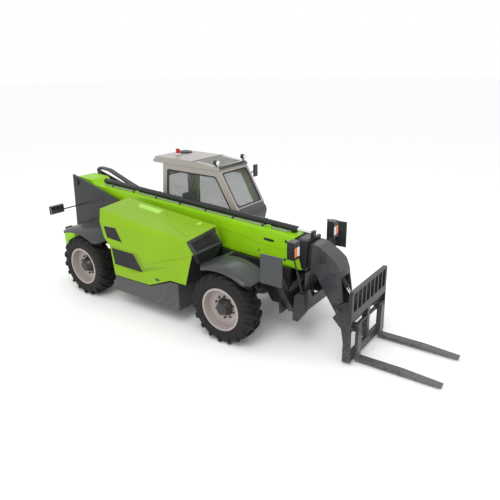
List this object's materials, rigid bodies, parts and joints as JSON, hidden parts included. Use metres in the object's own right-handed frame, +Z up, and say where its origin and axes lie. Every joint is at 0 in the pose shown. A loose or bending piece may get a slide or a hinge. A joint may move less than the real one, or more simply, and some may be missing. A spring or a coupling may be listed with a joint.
{
  "type": "telehandler",
  "caption": "Four-wheel-steer telehandler with a telescopic boom, side cab, opening engine hood, front stabilisers and a tilting fork carriage.",
  "frame": {"origin": "on the ground under the middle of the machine, halfway from the tail to the fork tips, on the centre line", "axes": "+X forward, towards the fork tips; +Y to the machine's left, the cab side; +Z up"},
  "size_m": [7.72, 2.405, 2.6398],
  "materials": {
    "lime_paint": "gloss",
    "charcoal_paint": "satin",
    "grey_paint": "satin",
    "cab_paint": "satin",
    "rim_paint": "satin",
    "tyre_rubber": "matt",
    "rod_chrome": "polished",
    "cab_glass": "clear",
    "black_mesh": "matt",
    "seat_cover": "woven",
    "black_plastic": "moulded",
    "axle_iron": "painted",
    "engine_iron": "cast",
    "fork_steel": "satin",
    "beacon_red": "clear tinted"
  },
  "bodies": {
    "chassis": {"chassis_frame": "charcoal_paint", "boom_tower": "charcoal_paint", "counterweight": "lime_paint", "engine_block": "engine_iron", "side_skirt": "grey_paint", "cab_step": "grey_paint", "front_axle": "axle_iron", "rear_axle": "axle_iron", "fenders": "grey_paint", "front_frame": "charcoal_paint", "cab_frame": "cab_paint", "cab_roof": "cab_paint", "cab_glass": "cab_glass", "seat": "seat_cover", "dashboard": "black_plastic", "lamps": "black_plastic", "beacon": "beacon_red", "mirrors": "black_plastic"},
    "hood": {"engine_hood": "lime_paint", "hood_grilles": "black_mesh"},
    "door": {"cab_door": "cab_paint", "door_glass": "cab_glass"},
    "boom": {"boom_outer": "lime_paint", "extend_barrel": "charcoal_paint"},
    "boom_second": {"boom_middle": "charcoal_paint", "extend_rod": "rod_chrome"},
    "boom_third": {"boom_inner": "charcoal_paint", "boom_head": "charcoal_paint"},
    "lift_cylinder": {"lift_barrel": "charcoal_paint"},
    "lift_piston": {"lift_rod": "rod_chrome"},
    "tilt_cylinder": {"tilt_barrel": "charcoal_paint"},
    "tilt_piston": {"tilt_rod": "rod_chrome"},
    "carriage": {"fork_carriage": "charcoal_paint", "forks": "fork_steel"},
    "knuckle_front_left": {"knuckle_front_left": "axle_iron"},
    "wheel_front_left": {"tyre_front_left": "tyre_rubber", "rim_front_left": "rim_paint"},
    "knuckle_front_right": {"knuckle_front_right": "axle_iron"},
    "wheel_front_right": {"tyre_front_right": "tyre_rubber", "rim_front_right": "rim_paint"},
    "knuckle_rear_left": {"knuckle_rear_left": "axle_iron"},
    "wheel_rear_left": {"tyre_rear_left": "tyre_rubber", "rim_rear_left": "rim_paint"},
    "knuckle_rear_right": {"knuckle_rear_right": "axle_iron"},
    "wheel_rear_right": {"tyre_rear_right": "tyre_rubber", "rim_rear_right": "rim_paint"},
    "stabiliser_leg_left": {"stabiliser_leg_left": "charcoal_paint"},
    "stabiliser_foot_left": {"stabiliser_foot_left": "grey_paint"},
    "stabiliser_cylinder_left": {"stabiliser_barrel_left": "charcoal_paint"},
    "stabiliser_piston_left": {"stabiliser_rod_left": "rod_chrome"},
    "stabiliser_leg_right": {"stabiliser_leg_right": "charcoal_paint"},
    "stabiliser_foot_right": {"stabiliser_foot_right": "grey_paint"},
    "stabiliser_cylinder_right": {"stabiliser_barrel_right": "charcoal_paint"},
    "stabiliser_piston_right": {"stabiliser_rod_right": "rod_chrome"}
  },
  "joints": [
    {"name": "steer_front_left", "type": "hinge", "parent": "chassis", "child": "knuckle_front_left", "pos_m": [0.65, 0.79, 0.58], "axis": [0, 0, 1], "range_deg": [-35, 35]},
    {"name": "spin_front_left", "type": "hinge", "parent": "knuckle_front_left", "child": "wheel_front_left", "pos_m": [0.65, 0.987, 0.58], "axis": [0, 1, 0], "continuous": true},
    {"name": "steer_front_right", "type": "hinge", "parent": "chassis", "child": "knuckle_front_right", "pos_m": [0.65, -0.79, 0.58], "axis": [0, 0, 1], "range_deg": [-35, 35]},
    {"name": "spin_front_right", "type": "hinge", "parent": "knuckle_front_right", "child": "wheel_front_right", "pos_m": [0.65, -0.987, 0.58], "axis": [0, 1, 0], "continuous": true},
    {"name": "steer_rear_left", "type": "hinge", "parent": "chassis", "child": "knuckle_rear_left", "pos_m": [-2.67, 0.79, 0.58], "axis": [0, 0, 1], "range_deg": [-35, 35]},
    {"name": "spin_rear_left", "type": "hinge", "parent": "knuckle_rear_left", "child": "wheel_rear_left", "pos_m": [-2.67, 0.987, 0.58], "axis": [0, 1, 0], "continuous": true},
    {"name": "steer_rear_right", "type": "hinge", "parent": "chassis", "child": "knuckle_rear_right", "pos_m": [-2.67, -0.79, 0.58], "axis": [0, 0, 1], "range_deg": [-35, 35]},
    {"name": "spin_rear_right", "type": "hinge", "parent": "knuckle_rear_right", "child": "wheel_rear_right", "pos_m": [-2.67, -0.987, 0.58], "axis": [0, 1, 0], "continuous": true},
    {"name": "boom_lift", "type": "hinge", "parent": "chassis", "child": "boom", "pos_m": [-3.7, 0, 1.93], "axis": [0, -1, 0], "range_deg": [0, 68]},
    {"name": "boom_extend", "type": "slide", "parent": "boom", "child": "boom_second", "axis": [0.9982, 0, -0.0597], "range_m": [0, 3.2]},
    {"name": "boom_extend_second", "type": "slide", "parent": "boom_second", "child": "boom_third", "axis": [0.9982, 0, -0.0597], "range_m": [0, 3.2]},
    {"name": "lift_cylinder_swing", "type": "hinge", "parent": "chassis", "child": "lift_cylinder", "pos_m": [-3.41, 0, 0.68], "axis": [0, -1, 0], "range_deg": [0, 54.23]},
    {"name": "lift_piston_slide", "type": "slide", "parent": "lift_cylinder", "child": "lift_piston", "axis": [0.9697, 0, 0.2444], "range_m": [0, 1.2745]},
    {"name": "carriage_tilt", "type": "hinge", "parent": "boom_third", "child": "carriage", "pos_m": [2.19, 0, 0.6], "axis": [0, -1, 0], "range_deg": [-90, 12]},
    {"name": "tilt_cylinder_swing", "type": "hinge", "parent": "boom_third", "child": "tilt_cylinder", "pos_m": [1.88, 0, 1.34], "axis": [0, -1, 0], "range_deg": [-9.72, 1.31]},
    {"name": "tilt_piston_slide", "type": "slide", "parent": "tilt_cylinder", "child": "tilt_piston", "axis": [0.613, 0, -0.7901], "range_m": [-0.0356, 0.264]},
    {"name": "stabiliser_leg_left_swing", "type": "hinge", "parent": "chassis", "child": "stabiliser_leg_left", "pos_m": [1.51, 0.45, 0.58], "axis": [-1, 0, 0], "range_deg": [0, 90]},
    {"name": "stabiliser_foot_left_tilt", "type": "hinge", "parent": "stabiliser_leg_left", "child": "stabiliser_foot_left", "pos_m": [1.51, 0.96323, 1.37943], "axis": [-1, 0, 0], "range_deg": [-12, 12]},
    {"name": "stabiliser_cylinder_left_swing", "type": "hinge", "parent": "chassis", "child": "stabiliser_cylinder_left", "pos_m": [1.51, 0.07, 1.015], "axis": [-1, 0, 0], "range_deg": [0, 20.87]},
    {"name": "stabiliser_piston_left_slide", "type": "slide", "parent": "stabiliser_cylinder_left", "child": "stabiliser_piston_left", "axis": [0, 0.9432, -0.3323], "range_m": [0, 0.3239]},
    {"name": "stabiliser_leg_right_swing", "type": "hinge", "parent": "chassis", "child": "stabiliser_leg_right", "pos_m": [1.51, -0.45, 0.58], "axis": [1, 0, 0], "range_deg": [0, 90]},
    {"name": "stabiliser_foot_right_tilt", "type": "hinge", "parent": "stabiliser_leg_right", "child": "stabiliser_foot_right", "pos_m": [1.51, -0.96323, 1.37943], "axis": [1, 0, 0], "range_deg": [-12, 12]},
    {"name": "stabiliser_cylinder_right_swing", "type": "hinge", "parent": "chassis", "child": "stabiliser_cylinder_right", "pos_m": [1.51, -0.07, 1.015], "axis": [1, 0, 0], "range_deg": [0, 20.87]},
    {"name": "stabiliser_piston_right_slide", "type": "slide", "parent": "stabiliser_cylinder_right", "child": "stabiliser_piston_right", "axis": [0, -0.9432, -0.3323], "range_m": [0, 0.3239]},
    {"name": "door_swing", "type": "hinge", "parent": "chassis", "child": "door", "pos_m": [-1.752, 1.132, 1.5], "axis": [0, 0, 1], "range_deg": [0, 85]},
    {"name": "hood_lift", "type": "hinge", "parent": "chassis", "child": "hood", "pos_m": [-1.2, -0.368, 1.73017], "axis": [-0.9956, 0, 0.0936], "range_deg": [0, 60]}
  ],
  "couplings": [
    {"joint": "steer_front_right", "follows": "steer_front_left", "ratio": 1},
    {"joint": "steer_rear_right", "follows": "steer_rear_left", "ratio": 1},
    {"joint": "boom_extend_second", "follows": "boom_extend", "ratio": 1},
    {"joint": "lift_cylinder_swing", "follows": "boom_lift", "ratio": 0.79728},
    {"joint": "lift_piston_slide", "follows": "boom_lift", "m_per_rad": 1.0735},
    {"joint": "tilt_cylinder_swing", "follows": "carriage_tilt", "ratio": 0.10778},
    {"joint": "tilt_piston_slide", "follows": "carriage_tilt", "m_per_rad": -0.16778},
    {"joint": "stabiliser_cylinder_left_swing", "follows": "stabiliser_leg_left_swing", "ratio": 0.23165},
    {"joint": "stabiliser_piston_left_slide", "follows": "stabiliser_leg_left_swing", "m_per_rad": 0.2059},
    {"joint": "stabiliser_cylinder_right_swing", "follows": "stabiliser_leg_right_swing", "ratio": 0.23165},
    {"joint": "stabiliser_piston_right_slide", "follows": "stabiliser_leg_right_swing", "m_per_rad": 0.2059}
  ]
}
